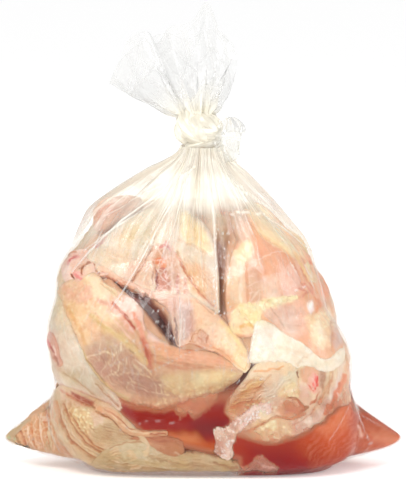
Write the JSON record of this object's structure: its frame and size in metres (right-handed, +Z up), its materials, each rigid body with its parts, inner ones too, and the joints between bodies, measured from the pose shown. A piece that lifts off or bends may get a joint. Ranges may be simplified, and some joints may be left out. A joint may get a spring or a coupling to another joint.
{
  "type": "knotted clear bag of raw whole chicken breasts with wings",
  "caption": "Clear film bag, knotted at its neck, standing full of raw bone-in chicken breasts with wings in pink juice.",
  "frame": {"origin": "middle of the bag's own box, on the table it stands on", "axes": "+Z up through the knot and mouth, +X to the right seen from the front, the front with the open breast towards -Y"},
  "size_m": [0.3166, 0.1698, 0.3669],
  "materials": {
    "film": "clear limp polythene film, wet inside, glossy, whitish where it is gathered",
    "skin": "raw chicken skin, pale cream, goosebumped, wet",
    "meat": "raw chicken breast meat, pale pink, smooth and moist",
    "fat": "raw chicken fat, soft yellow, lumpy and greasy",
    "bone": "cut bone and gristle, bloody red to pale pink, wet",
    "juice": "meat juice, cloudy brick pink"
  },
  "bodies": {
    "root": {"bag": "film"}
  },
  "joints": []
}
